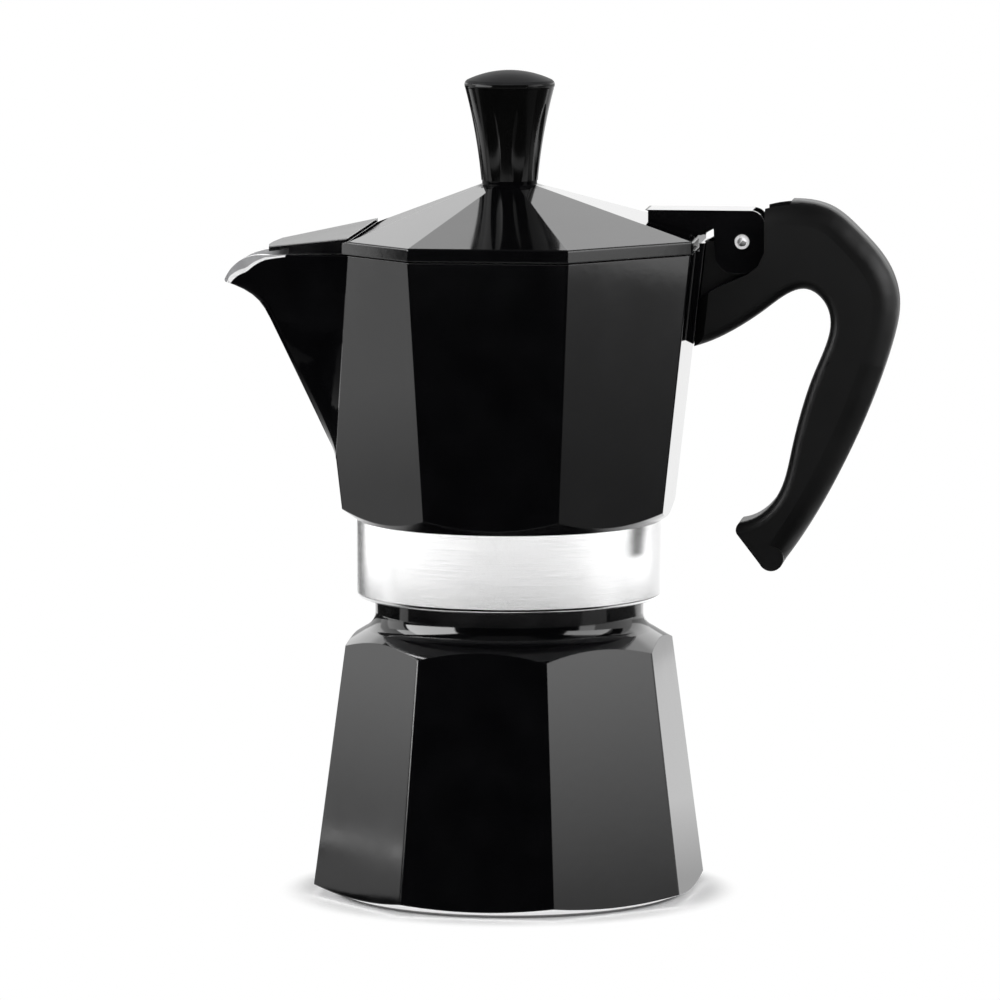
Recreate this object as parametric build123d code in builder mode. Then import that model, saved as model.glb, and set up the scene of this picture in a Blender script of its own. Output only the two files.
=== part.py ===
from build123d import *
import math
import os

# Stovetop moka pot for six small cups. Sizes are in millimetres.
# The pot stands on Z = 0 with its axis on Z. The handle points to +X and the spout to -X.

os.makedirs("parts", exist_ok=True)

# Shared form of both vessels
SIDES = 8
FLAT_RATIO = math.cos(math.pi / SIDES)
VERTEX_ANGLE = 180 / SIDES
CAST_EDGE_ROUND = 1.0
SEAT_GAP = 0.3
PRESS_GAP = 0.05
CUT_REACH = 120.0

# Boiler
BOILER_TURN = -3.7
BOILER_FOOT_RADIUS = 53.1
BOILER_LEAN = 0.1363
BOILER_BEVEL_RADIUS = 43.8
BOILER_BEVEL_ANGLE = 20
BOILER_SHOULDER_RADIUS = 44.1
BOILER_SHOULDER_Z = 66.1
BOILER_SHOULDER_ANGLE = 31.4
BOILER_WALL = 3.2
BOILER_FLOOR = 3.5
NECK_RADIUS = 35.3
NECK_BORE = 31.4
NECK_FLARE = 5.0
NECK_TOP = 87.0

# Seal stack between boiler and collector
FLANGE_THICK = 1.0
GASKET_THICK = 3.5
GASKET_RADIUS = 36.0
GASKET_BORE = 28.2
SEAT_Z = NECK_TOP + FLANGE_THICK + GASKET_THICK

# Collector
FLOOR_THICK = 5.5
SKIRT_RISE = 1.9
BODY_FLOOR_Z = SEAT_Z + FLOOR_THICK
COLLAR_RADIUS = 40.05
COLLAR_BOTTOM = 78.5
COLLAR_TOP = BODY_FLOOR_Z + SKIRT_RISE
COLLAR_THREAD_BORE = 36.9
COLLAR_LIP_ROUND = 1.2
BODY_LOW_RADIUS = 45.6
BODY_LOW_Z = 102.7
BODY_RIM_RADIUS = 53.6
BODY_RIM_Z = 170.3
BODY_WALL = 2.6
BODY_SKIRT_ANGLE = 34.5
DISH_DEPTH = 2.0

# Riser column
COLUMN_FOOT_RADIUS = 8.5
COLUMN_SPIGOT_RADIUS = 5.6
COLUMN_TOP_RADIUS = 6.0
COLUMN_TOP_Z = 148.0
COLUMN_DOME = 3.6
COLUMN_BORE = 3.6
COLUMN_OUTLET = 2.4

# Spout
SPOUT_RIM_X = -38.4
SPOUT_KNEE_Z = 116.1
SPOUT_FOOT_Z = 108.2
SPOUT_PROW_X = -46.5
SPOUT_PROW_LEAN = 0.481
SPOUT_CURL_Z = 147.0
PROW_ROUND = 2.4
LIP_ROUND = 9.5
SPOUT_WALL = 2.4
RIM_RUN_X = -64.5
RIM_RUN_Z = 168.4
LIP_TIP_X = -75.2
LIP_TIP_Z = 160.3

# Hinge
PIN_X = 61.6
PIN_Z = 172.8
PIN_RADIUS = 1.9
PIN_BORE = 1.2
PIN_HALF = 6.9
PIN_RUN_GAP = 0.05
TONGUE_HALF = 2.2
FIN_HALF = 4.6
EAR_IN = 4.9
EAR_OUT = 6.4
POCKET_HALF = 6.75
HEAD_RADIUS = 6.1
POCKET_RADIUS = 9.5
LID_OPEN = 105
BOSS_THICK = 2.2
BOSS_HALF = 7.5
BOSS_BOTTOM = 146.0
BOSS_TOP = 172.4

# Handle
HANDLE_HALF = 9.5
HANDLE_FRONT_GAP = 0.2
HANDLE_FRONT_BEVEL = 2.4
HANDLE_TIP_HALF = 7.0
HANDLE_TAPER_Z = 142.0
HANDLE_OUTER_ROUND = 6.0
HANDLE_INNER_ROUND = 2.6

# Lid
LID_GAP = 0.4
LID_RADIUS = 53.9
LID_RIM_Z = 173.9
LID_CROWN_RADIUS = 7.6
LID_CROWN_Z = 186.8
LID_WALL = 1.8
LID_EDGE_ROUND = 0.6
LID_BOSS_RADIUS = 7.2
LID_BOSS_Z = 187.9
BEAK_REAR_X = -38.8
BEAK_REAR_Z = 174.8
BEAK_FRONT_X = -63.0
BEAK_FRONT_Z = 170.7
BEAK_FRONT_HALF = 11.8
BEAK_NOSE = 1.2
BEAK_NOSE_HALF = 4.0
BEAK_WALL_END_X = -56.0
BEAK_WALL = 1.5
BEAK_JOIN_X = -41.4
SHELF_TOP = 180.9
SHELF_THICK = 1.6
SHELF_REAR = 64.2
GUSSET_FRONT = 37.0
EAR_FRONT = 54.5
EAR_REAR = 67.3
EAR_BOTTOM = 164.4

# Knob
KNOB_FOOT_RADIUS = 7.4
KNOB_RIM_RADIUS = 11.8
KNOB_TOP = 216.6
KNOB_DOME_RISE = 3.5
KNOB_FLUTES = 8
KNOB_FLUTE_RADIUS = 64.0
KNOB_FLUTE_ROUND = 4.0
KNOB_FLUTE_DEPTH = 1.1
KNOB_FLUTE_SHARE = 0.4
SCREW_RADIUS = 1.9
SCREW_HEAD_RADIUS = 3.6
SCREW_REACH_SHARE = 0.52

# Funnel
CUP_RADIUS = 30.2
CUP_WALL = 1.0
CUP_FLANGE_RADIUS = 34.8
CUP_LEDGE_Z = 68.0
CUP_CONE_Z = 57.5
CUP_SOCKET_Z = 50.0
STEM_RADIUS = 6.2
STEM_WALL = 1.2
STEM_BOTTOM = 8.5
SCREEN_THICK = 0.8
SCREEN_HOLE = 1.1
SCREEN_RING_STEP = 7.6
SCREEN_RINGS = 3

# Filter plate
PLATE_RADIUS = GASKET_BORE - SEAT_GAP
PLATE_THICK = 0.8
PLATE_DROP = 2.4

# Safety valve, square to a rear face of the boiler
VALVE_ANGLE = 90 + BOILER_TURN
VALVE_Z = 46.0
VALVE_HEX = 6.3
VALVE_HEX_THICK = 4.0
VALVE_SHANK = 4.0
VALVE_SHANK_IN = 8.0
VALVE_SEAL_THICK = 0.8
VALVE_CHAMBER = 3.0
VALVE_SEAT = -4.0
VALVE_INLET = 1.5
VALVE_CAP_RADIUS = 4.1
VALVE_CAP_THICK = 1.0
VALVE_POPPET = 2.6
VALVE_POPPET_THICK = 1.4
VALVE_ROD = 1.1
VALVE_ROD_OUT = 2.2
VALVE_PAD_RADIUS = 8.0
VALVE_PAD_DEPTH = 6.5
SPRING_WIRE = 0.25
SPRING_RADIUS = 2.0
SPRING_TURNS = 6


def boiler_radius(z):
    return BOILER_FOOT_RADIUS - BOILER_LEAN * z


def body_radius(z):
    lean = (BODY_RIM_RADIUS - BODY_LOW_RADIUS) / (BODY_RIM_Z - BODY_LOW_Z)
    return BODY_RIM_RADIUS - lean * (BODY_RIM_Z - z)


def boss_x(z):
    """The rear boss's face, which leans as the vessel's face does."""
    return body_radius(z) * FLAT_RATIO + BOSS_THICK


def side_edges(part):
    """Edges that run up the vessel between two flat faces."""
    return part.edges().filter_by(lambda e: abs((e % 0.5).Z) > 0.9)


def long_curves(part, low_x, high_x):
    """Long curved edges on both flanks of a part, picked by where their middle lies along X."""
    curves = part.edges().filter_by(GeomType.BSPLINE).filter_by(lambda e: e.length > 20)
    flank = curves.filter_by(lambda e: abs(e.center().Y) > 5)
    return flank.filter_by(lambda e: low_x < e.center().X < high_x)


def dome_arc(radius, edge_z, crown_z):
    """Profile of a round cap on the axis, from its edge to its crown."""
    rise = crown_z - edge_z
    ball = (radius ** 2 + rise ** 2) / (2 * rise)
    start = math.degrees(math.asin((ball - rise) / ball))
    return CenterArc((0, crown_z - ball), ball, start, 90 - start)


def hinge_point(radius, degrees):
    """A point about the hinge pin, counted clockwise from straight up as seen from -Y."""
    turn = math.radians(degrees)
    return (PIN_X + radius * math.sin(turn), PIN_Z + radius * math.cos(turn))


# Boiler: a leaning eight-sided casting, turned round at foot, shoulder and neck
shoulder_slope = math.tan(math.radians(BOILER_SHOULDER_ANGLE))
bevel_slope = math.tan(math.radians(BOILER_BEVEL_ANGLE))
outer_limit = BOILER_FOOT_RADIUS + 2
neck_corner_z = BOILER_SHOULDER_Z + (BOILER_SHOULDER_RADIUS - NECK_RADIUS) * shoulder_slope
limit_top_z = BOILER_SHOULDER_Z - (outer_limit - BOILER_SHOULDER_RADIUS) * shoulder_slope
cavity_low_z = 9.0
cavity_high_z = 63.5
cavity_low_radius = boiler_radius(cavity_low_z) * FLAT_RATIO - BOILER_WALL
cavity_high_radius = boiler_radius(cavity_high_z) * FLAT_RATIO - BOILER_WALL
valve_lean = math.atan(BOILER_LEAN * FLAT_RATIO)
valve_turn = math.radians(VALVE_ANGLE)
valve_reach = boiler_radius(VALVE_Z) * FLAT_RATIO
valve_plane = Plane(
    origin=(valve_reach * math.cos(valve_turn), valve_reach * math.sin(valve_turn), VALVE_Z),
    x_dir=(-math.sin(valve_turn), math.cos(valve_turn), 0),
    z_dir=(
        math.cos(valve_lean) * math.cos(valve_turn),
        math.cos(valve_lean) * math.sin(valve_turn),
        math.sin(valve_lean),
    ),
)

with BuildPart() as boiler:
    with BuildSketch():
        RegularPolygon(BOILER_FOOT_RADIUS, SIDES, rotation=VERTEX_ANGLE + BOILER_TURN)
    with BuildSketch(Plane.XY.offset(NECK_TOP)):
        RegularPolygon(boiler_radius(NECK_TOP), SIDES, rotation=VERTEX_ANGLE + BOILER_TURN)
    loft(ruled=True)
    fillet(side_edges(boiler), CAST_EDGE_ROUND)
    with BuildSketch(Plane.XZ) as turned:
        with BuildLine():
            Polyline(
                (0, 0),
                (BOILER_BEVEL_RADIUS, 0),
                (outer_limit, (outer_limit - BOILER_BEVEL_RADIUS) * bevel_slope),
                (outer_limit, limit_top_z),
                (NECK_RADIUS, neck_corner_z),
                (NECK_RADIUS, NECK_TOP),
                (0, NECK_TOP),
                close=True,
            )
        make_face()
        neck_corner = turned.vertices().sort_by_distance((NECK_RADIUS, neck_corner_z))[0]
        fillet(neck_corner, NECK_FLARE)
    revolve(axis=Axis.Z, mode=Mode.INTERSECT)
    with BuildSketch(Plane.XZ) as cavity:
        with BuildLine():
            Polyline(
                (0, BOILER_FLOOR),
                (cavity_low_radius - 1.0, BOILER_FLOOR),
                (cavity_low_radius, cavity_low_z),
                (cavity_high_radius, cavity_high_z),
                (NECK_BORE, cavity_high_z + 5.5),
                (NECK_BORE, NECK_TOP),
                (0, NECK_TOP),
                close=True,
            )
        make_face()
        floor_corner = cavity.vertices().sort_by_distance((cavity_low_radius, BOILER_FLOOR))[0]
        fillet(floor_corner, 3.0)
    revolve(axis=Axis.Z, mode=Mode.SUBTRACT)
    with BuildSketch(valve_plane.offset(-VALVE_PAD_DEPTH)):
        Circle(VALVE_PAD_RADIUS)
    extrude(amount=VALVE_PAD_DEPTH - 1.0)
    with BuildSketch(valve_plane.offset(-VALVE_PAD_DEPTH - 1)):
        Circle(VALVE_SHANK + SEAT_GAP)
    extrude(amount=VALVE_PAD_DEPTH + 3, mode=Mode.SUBTRACT)

boiler.part.label = "boiler"
export_step(boiler.part, "parts/boiler.step")

# Safety valve: hexagonal body with its seal, spring, poppet stem and closing cap
hex_top = VALVE_SEAL_THICK + VALVE_HEX_THICK
cap_seat = hex_top - VALVE_CAP_THICK

with BuildPart() as valve_seal:
    with BuildSketch(valve_plane):
        Circle(VALVE_HEX - 0.9)
        Circle(VALVE_SHANK + SEAT_GAP, mode=Mode.SUBTRACT)
    extrude(amount=VALVE_SEAL_THICK)

valve_seal.part.label = "valve_seal"
export_step(valve_seal.part, "parts/valve_seal.step")

with BuildPart() as valve_body:
    with BuildSketch(valve_plane.offset(VALVE_SEAL_THICK)):
        RegularPolygon(VALVE_HEX, 6)
    extrude(amount=VALVE_HEX_THICK)
    with BuildSketch(valve_plane.offset(-VALVE_SHANK_IN)):
        Circle(VALVE_SHANK)
    extrude(amount=VALVE_SHANK_IN + VALVE_SEAL_THICK)
    with BuildSketch(valve_plane.offset(-VALVE_SHANK_IN)):
        Circle(VALVE_INLET)
    extrude(amount=VALVE_SHANK_IN, mode=Mode.SUBTRACT)
    with BuildSketch(valve_plane.offset(VALVE_SEAT)):
        Circle(VALVE_CHAMBER)
    extrude(amount=hex_top - VALVE_SEAT, mode=Mode.SUBTRACT)
    with BuildSketch(valve_plane.offset(cap_seat)):
        Circle(VALVE_CAP_RADIUS + PRESS_GAP)
    extrude(amount=VALVE_CAP_THICK, mode=Mode.SUBTRACT)

valve_body.part.label = "valve_body"
export_step(valve_body.part, "parts/valve_body.step")

with BuildPart() as valve_cap:
    with BuildSketch(valve_plane.offset(cap_seat)):
        Circle(VALVE_CAP_RADIUS)
        Circle(VALVE_ROD + PRESS_GAP, mode=Mode.SUBTRACT)
    extrude(amount=VALVE_CAP_THICK)

valve_cap.part.label = "valve_cap"
export_step(valve_cap.part, "parts/valve_cap.step")

with BuildPart() as valve_stem:
    with BuildSketch(valve_plane.offset(VALVE_SEAT)):
        Circle(VALVE_POPPET)
    extrude(amount=VALVE_POPPET_THICK)
    with BuildSketch(valve_plane.offset(VALVE_SEAT)):
        Circle(VALVE_ROD)
    extrude(amount=hex_top + VALVE_ROD_OUT - VALVE_SEAT)

valve_stem.part.label = "valve_stem"
export_step(valve_stem.part, "parts/valve_stem.step")

spring_low = VALVE_SEAT + VALVE_POPPET_THICK + SPRING_WIRE + PRESS_GAP
spring_length = cap_seat - SPRING_WIRE - PRESS_GAP - spring_low
spring_pitch = spring_length / SPRING_TURNS
spring_base = valve_plane.offset(spring_low)

with BuildPart() as valve_spring:
    with BuildLine() as coil:
        Helix(spring_pitch, spring_length, SPRING_RADIUS, center=spring_base.origin,
              direction=spring_base.z_dir)
    with BuildSketch(Plane(origin=coil.line @ 0, z_dir=coil.line % 0)):
        Circle(SPRING_WIRE)
    sweep(is_frenet=True)

valve_spring.part.label = "valve_spring"
export_step(valve_spring.part, "parts/valve_spring.step")

# Funnel: a coffee cup hung by its flange on the boiler's neck, with a screen and a feed stem
cup_bore = CUP_RADIUS - CUP_WALL
ledge_bore = cup_bore - 1.4
flange_top = NECK_TOP + FLANGE_THICK

with BuildPart() as funnel_cup:
    with BuildSketch(Plane.XZ):
        with BuildLine():
            Polyline(
                (CUP_FLANGE_RADIUS, NECK_TOP),
                (CUP_FLANGE_RADIUS, flange_top),
                (cup_bore, flange_top),
                (cup_bore, CUP_LEDGE_Z),
                (ledge_bore, CUP_LEDGE_Z),
                (ledge_bore, CUP_LEDGE_Z - 1.0),
                (STEM_RADIUS - STEM_WALL, CUP_CONE_Z),
                (STEM_RADIUS - STEM_WALL, CUP_CONE_Z - 1.5),
                (STEM_RADIUS + PRESS_GAP, CUP_CONE_Z - 1.5),
                (STEM_RADIUS + PRESS_GAP, CUP_SOCKET_Z),
                (STEM_RADIUS + CUP_WALL, CUP_SOCKET_Z),
                (STEM_RADIUS + CUP_WALL, CUP_CONE_Z - 1.2),
                (CUP_RADIUS, CUP_LEDGE_Z - 1.6),
                (CUP_RADIUS, NECK_TOP),
                close=True,
            )
        make_face()
    revolve(axis=Axis.Z)

funnel_cup.part.label = "funnel_cup"
export_step(funnel_cup.part, "parts/funnel_cup.step")

with BuildPart() as funnel_stem:
    with BuildSketch(Plane.XY.offset(STEM_BOTTOM)):
        Circle(STEM_RADIUS)
        Circle(STEM_RADIUS - STEM_WALL, mode=Mode.SUBTRACT)
    extrude(amount=CUP_CONE_Z - 1.5 - STEM_BOTTOM)

funnel_stem.part.label = "funnel_stem"
export_step(funnel_stem.part, "parts/funnel_stem.step")

with BuildPart() as funnel_screen:
    with BuildSketch(Plane.XY.offset(CUP_LEDGE_Z)):
        Circle(cup_bore - SEAT_GAP)
        Circle(SCREEN_HOLE, mode=Mode.SUBTRACT)
        for ring in range(1, SCREEN_RINGS + 1):
            with PolarLocations(ring * SCREEN_RING_STEP, 6 * ring):
                Circle(SCREEN_HOLE, mode=Mode.SUBTRACT)
    extrude(amount=SCREEN_THICK)

funnel_screen.part.label = "funnel_screen"
export_step(funnel_screen.part, "parts/funnel_screen.step")

# Gasket: a flat ring pressed between the funnel's flange and the collector's seat
with BuildPart() as gasket:
    with BuildSketch(Plane.XY.offset(flange_top)):
        Circle(GASKET_RADIUS)
        Circle(GASKET_BORE, mode=Mode.SUBTRACT)
    extrude(amount=GASKET_THICK)
    chamfer(gasket.edges(), 0.4)

gasket.part.label = "gasket"
export_step(gasket.part, "parts/gasket.step")

# Filter plate: a shallow drilled cup, rim up, inside the gasket
with BuildPart() as filter_plate:
    with BuildSketch(Plane.XY.offset(SEAT_Z - PLATE_DROP)):
        Circle(PLATE_RADIUS)
    extrude(amount=PLATE_DROP)
    with BuildSketch(Plane.XY.offset(SEAT_Z - PLATE_DROP + PLATE_THICK)):
        Circle(PLATE_RADIUS - PLATE_THICK)
    extrude(amount=PLATE_DROP, mode=Mode.SUBTRACT)
    with BuildSketch(Plane.XY.offset(SEAT_Z - PLATE_DROP)):
        Circle(SCREEN_HOLE)
        for ring in range(1, SCREEN_RINGS + 1):
            with PolarLocations(ring * SCREEN_RING_STEP, 6 * ring):
                Circle(SCREEN_HOLE)
    extrude(amount=PLATE_THICK, mode=Mode.SUBTRACT)

filter_plate.part.label = "filter_plate"
export_step(filter_plate.part, "parts/filter_plate.step")


# Spout: rounded V sections, one above another. The prow runs straight, then curls out to the lip.
# Its walls leave the vessel along two straight creases, from the rim down to the vessel's corners
spout_knee_x = -body_radius(SPOUT_KNEE_Z) * FLAT_RATIO
crease_lean = (SPOUT_RIM_X - spout_knee_x) / (BODY_RIM_Z - SPOUT_KNEE_Z)


def crease_x(z):
    return spout_knee_x + crease_lean * (z - SPOUT_KNEE_Z)


def crease_half(z):
    """Half the width between the creases, which lie on the vessel's flat faces."""
    corner = body_radius(z)
    return corner * math.sin(math.pi / SIDES) + crease_x(z) + corner * FLAT_RATIO


def prow_x(z):
    """The straight prow's foremost point at a height."""
    return SPOUT_PROW_X - SPOUT_PROW_LEAN * (z - SPOUT_KNEE_Z)


def lip_x(z):
    """The foremost point where the nose curls out of the straight prow into the lip."""
    if z > LIP_TIP_Z:
        return LIP_TIP_X - 0.5 * (z - LIP_TIP_Z)
    curl = max(0.0, z - SPOUT_CURL_Z) / (LIP_TIP_Z - SPOUT_CURL_Z)
    return prow_x(z) + (LIP_TIP_X - prow_x(LIP_TIP_Z)) * curl ** 5


def nose_radius(z):
    """The prow is sharp at its foot and broad at the lip."""
    return PROW_ROUND + (LIP_ROUND - PROW_ROUND) * (z - SPOUT_FOOT_Z) / (LIP_TIP_Z - SPOUT_FOOT_Z)


def v_outline(z, root, half, prow, tip, radius):
    """Closed V at a height: two straight walls from the creases to a round nose that may reach out."""
    centre = prow + radius
    reach = math.hypot(root - centre, half)
    bearing = math.atan2(half, root - centre) + math.acos(radius / reach)
    touch_x = centre + radius * math.cos(bearing)
    touch_y = radius * math.sin(bearing)
    run = (touch_x - root, touch_y - half)
    inner_x = root + 3.0
    inner_y = half * 0.8
    with BuildSketch(Plane.XY.offset(z)) as outline:
        with BuildLine():
            Line((inner_x, inner_y), (root, half))
            Line((root, half), (touch_x, touch_y))
            Spline((touch_x, touch_y), (tip, 0), (touch_x, -touch_y), tangents=(run, (-run[0], run[1])))
            Line((touch_x, -touch_y), (root, -half))
            Line((root, -half), (inner_x, -inner_y))
            Line((inner_x, -inner_y), (inner_x, inner_y))
        make_face()
    return outline.sketch


def spout_section(z, inset):
    """The spout's V at a height, drawn in from the outside by the inset."""
    root = crease_x(z) + inset
    half = crease_half(z) - inset
    low = z - 0.7 * inset
    radius = max(nose_radius(z) - 0.6 * inset, 0.8)
    return v_outline(z, root, half, prow_x(low) + 0.75 * inset, lip_x(low) + 0.75 * inset, radius)


curl_rise = LIP_TIP_Z - SPOUT_CURL_Z
curl_levels = [SPOUT_CURL_Z + curl_rise * share for share in (0.28, 0.48, 0.64, 0.76, 0.86, 0.94)]
spout_levels = [SPOUT_KNEE_Z, SPOUT_CURL_Z, *curl_levels, LIP_TIP_Z, BODY_RIM_Z + 2]
foot_corner = body_radius(SPOUT_FOOT_Z)
foot_section = v_outline(
    SPOUT_FOOT_Z, 1.0 - foot_corner * FLAT_RATIO, foot_corner * math.sin(math.pi / SIDES) - 0.5,
    prow_x(SPOUT_FOOT_Z), prow_x(SPOUT_FOOT_Z), nose_radius(SPOUT_FOOT_Z),
)

with BuildPart() as spout_outside:
    loft([foot_section, *[spout_section(z, 0.0) for z in spout_levels]], ruled=True)

with BuildPart() as spout_inside:
    loft([spout_section(z, SPOUT_WALL) for z in spout_levels], ruled=True)

# Collector: eight-sided vessel on a round collar, with spout, rear boss and tongue
skirt_slope = math.tan(math.radians(BODY_SKIRT_ANGLE))
body_foot_z = COLLAR_TOP - 3.0
wall_share = BODY_WALL / FLAT_RATIO
skirt_limit = BODY_RIM_RADIUS + 2

with BuildPart() as body_outside:
    with BuildSketch(Plane.XY.offset(body_foot_z)):
        RegularPolygon(body_radius(body_foot_z), SIDES, rotation=VERTEX_ANGLE)
    with BuildSketch(Plane.XY.offset(BODY_RIM_Z)):
        RegularPolygon(BODY_RIM_RADIUS, SIDES, rotation=VERTEX_ANGLE)
    loft(ruled=True)
    fillet(side_edges(body_outside), CAST_EDGE_ROUND)
    with BuildSketch(Plane.XZ):
        with BuildLine():
            Polyline(
                (0, COLLAR_TOP),
                (COLLAR_RADIUS, COLLAR_TOP),
                (skirt_limit, COLLAR_TOP + (skirt_limit - COLLAR_RADIUS) * skirt_slope),
                (skirt_limit, BODY_RIM_Z),
                (0, BODY_RIM_Z),
                close=True,
            )
        make_face()
    revolve(axis=Axis.Z, mode=Mode.INTERSECT)
    # The corners in front of the spout's creases give way to the spout
    with BuildSketch(Plane.XZ):
        Polygon(
            (spout_knee_x, SPOUT_KNEE_Z), (crease_x(BODY_RIM_Z + 5), BODY_RIM_Z + 5),
            (-CUT_REACH, BODY_RIM_Z + 5), (-CUT_REACH, SPOUT_KNEE_Z), align=None,
        )
    extrude(amount=CUT_REACH, both=True, mode=Mode.SUBTRACT)

with BuildPart() as body_inside:
    with BuildSketch(Plane.XY.offset(BODY_FLOOR_Z)):
        RegularPolygon(body_radius(BODY_FLOOR_Z) - wall_share, SIDES, rotation=VERTEX_ANGLE)
    with BuildSketch(Plane.XY.offset(BODY_RIM_Z + 1)):
        RegularPolygon(body_radius(BODY_RIM_Z + 1) - wall_share, SIDES, rotation=VERTEX_ANGLE)
    loft(ruled=True)
    with BuildSketch(Plane.XZ):
        with BuildLine():
            Polyline(
                (0, BODY_FLOOR_Z),
                (COLLAR_RADIUS - 4.0, BODY_FLOOR_Z),
                (skirt_limit, BODY_FLOOR_Z + (skirt_limit - COLLAR_RADIUS + 4.0) * skirt_slope),
                (skirt_limit, BODY_RIM_Z + 1),
                (0, BODY_RIM_Z + 1),
                close=True,
            )
        make_face()
    revolve(axis=Axis.Z, mode=Mode.INTERSECT)

with BuildPart() as collector:
    add(body_outside.part)
    with BuildSketch(Plane.XY.offset(COLLAR_BOTTOM)):
        Circle(COLLAR_RADIUS)
    extrude(amount=COLLAR_TOP - COLLAR_BOTTOM)
    collar_lip = collector.edges().filter_by(GeomType.CIRCLE).sort_by(Axis.Z)[0]
    fillet(collar_lip, COLLAR_LIP_ROUND)
    add(spout_outside.part)
    add(body_inside.part, mode=Mode.SUBTRACT)
    add(spout_inside.part, mode=Mode.SUBTRACT)
    # Rim and lip: level round the vessel, falling gently to the spout, then curling down to the tip
    with BuildSketch(Plane.XZ):
        with BuildLine():
            rim_run = Line((SPOUT_RIM_X, BODY_RIM_Z), (RIM_RUN_X, RIM_RUN_Z))
            lip_curl = TangentArc(rim_run @ 1, (LIP_TIP_X - 0.6, LIP_TIP_Z - 0.4), tangent=rim_run % 1)
            Polyline(
                lip_curl @ 1,
                (-CUT_REACH, LIP_TIP_Z - 5),
                (-CUT_REACH, BODY_RIM_Z + 10),
                (CUT_REACH, BODY_RIM_Z + 10),
                (CUT_REACH, BODY_RIM_Z),
                rim_run @ 0,
            )
        make_face()
    extrude(amount=CUT_REACH, both=True, mode=Mode.SUBTRACT)
    # Underside: thread bore, gasket seat, a shallow dish and the hole for the riser column
    with BuildSketch(Plane.XZ):
        with BuildLine():
            Polyline(
                (0, COLLAR_BOTTOM - 1),
                (COLLAR_THREAD_BORE, COLLAR_BOTTOM - 1),
                (COLLAR_THREAD_BORE, flange_top),
                (GASKET_RADIUS + SEAT_GAP, flange_top),
                (GASKET_RADIUS + SEAT_GAP, SEAT_Z),
                (PLATE_RADIUS - 2.2, SEAT_Z),
                (PLATE_RADIUS - 4.2, SEAT_Z + 0.6 * DISH_DEPTH),
                (COLUMN_SPIGOT_RADIUS + PRESS_GAP, SEAT_Z + DISH_DEPTH),
                (COLUMN_SPIGOT_RADIUS + PRESS_GAP, BODY_FLOOR_Z + 1),
                (0, BODY_FLOOR_Z + 1),
                close=True,
            )
        make_face()
    revolve(axis=Axis.Z, mode=Mode.SUBTRACT)
    # Rear boss that the handle butts against
    with BuildSketch(Plane.XZ):
        with BuildLine():
            Polyline(
                (boss_x(BOSS_BOTTOM) - BOSS_THICK - 1, BOSS_BOTTOM + 1.5),
                (boss_x(BOSS_BOTTOM), BOSS_BOTTOM),
                (boss_x(BOSS_TOP), BOSS_TOP),
                (boss_x(BOSS_TOP) - 1.4, BOSS_TOP),
                (boss_x(BOSS_TOP) - 1.4, BODY_RIM_Z),
                (boss_x(BODY_RIM_Z) - BOSS_THICK - 1, BODY_RIM_Z),
                close=True,
            )
        make_face()
    extrude(amount=BOSS_HALF, both=True)
    # Tongue that enters the handle's slot and holds the pin
    with BuildSketch(Plane.XZ):
        with BuildLine():
            Polyline(
                (boss_x(152.0) - 0.5, 152.0),
                (boss_x(BOSS_TOP) - 0.5, BOSS_TOP),
                (58.8, 176.4),
                (65.2, 169.8),
                (60.0, 158.0),
                close=True,
            )
        make_face()
        with Locations((PIN_X, PIN_Z)):
            Circle(4.7)
            Circle(PIN_RADIUS + PIN_RUN_GAP, mode=Mode.SUBTRACT)
    extrude(amount=TONGUE_HALF, both=True)

collector.part.label = "collector"
export_step(collector.part, "parts/collector.step")

# Riser column: a tapered tube pressed into the collector's floor, with two outlets under its domed top
with BuildPart() as riser_column:
    with BuildSketch(Plane.XZ):
        with BuildLine():
            column_end = Line((0, SEAT_Z + DISH_DEPTH), (COLUMN_SPIGOT_RADIUS, SEAT_Z + DISH_DEPTH))
            column_flank = Polyline(
                column_end @ 1,
                (COLUMN_SPIGOT_RADIUS, BODY_FLOOR_Z),
                (COLUMN_FOOT_RADIUS, BODY_FLOOR_Z),
                (COLUMN_TOP_RADIUS, COLUMN_TOP_Z),
            )
            column_dome = dome_arc(COLUMN_TOP_RADIUS, COLUMN_TOP_Z, COLUMN_TOP_Z + COLUMN_DOME)
            Line(column_dome @ 1, column_end @ 0)
        make_face()
    revolve(axis=Axis.Z)
    with BuildSketch(Plane.XY.offset(SEAT_Z)):
        Circle(COLUMN_BORE)
    extrude(amount=COLUMN_TOP_Z - SEAT_Z - 1.5, mode=Mode.SUBTRACT)
    with BuildSketch(Plane.XZ):
        with Locations((0, COLUMN_TOP_Z - 5.0)):
            Circle(COLUMN_OUTLET)
    extrude(amount=COLUMN_FOOT_RADIUS, both=True, mode=Mode.SUBTRACT)

riser_column.part.label = "riser_column"
export_step(riser_column.part, "parts/riser_column.step")

# Handle: one curved moulding. Its head is narrow between the lid's ears and slotted for the tongue
front_lean = math.atan((boss_x(BOSS_TOP) - boss_x(BOSS_BOTTOM)) / (BOSS_TOP - BOSS_BOTTOM))
open_line = LID_OPEN + 3
pocket_reach = SHELF_TOP - PIN_Z + 0.7
pocket_low = hinge_point(pocket_reach, open_line)
pocket_run = (math.sin(math.radians(open_line - 90)), math.cos(math.radians(open_line - 90)))
pocket_high = (pocket_low[0] + 18 * pocket_run[0], pocket_low[1] + 18 * pocket_run[1])

def handle_front(z):
    return boss_x(z) + HANDLE_FRONT_GAP


front_edge = Plane(
    origin=(handle_front(BOSS_BOTTOM), 0, BOSS_BOTTOM),
    x_dir=(math.cos(front_lean), 0, -math.sin(front_lean)),
    z_dir=(math.sin(front_lean), 0, math.cos(front_lean)),
)

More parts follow.
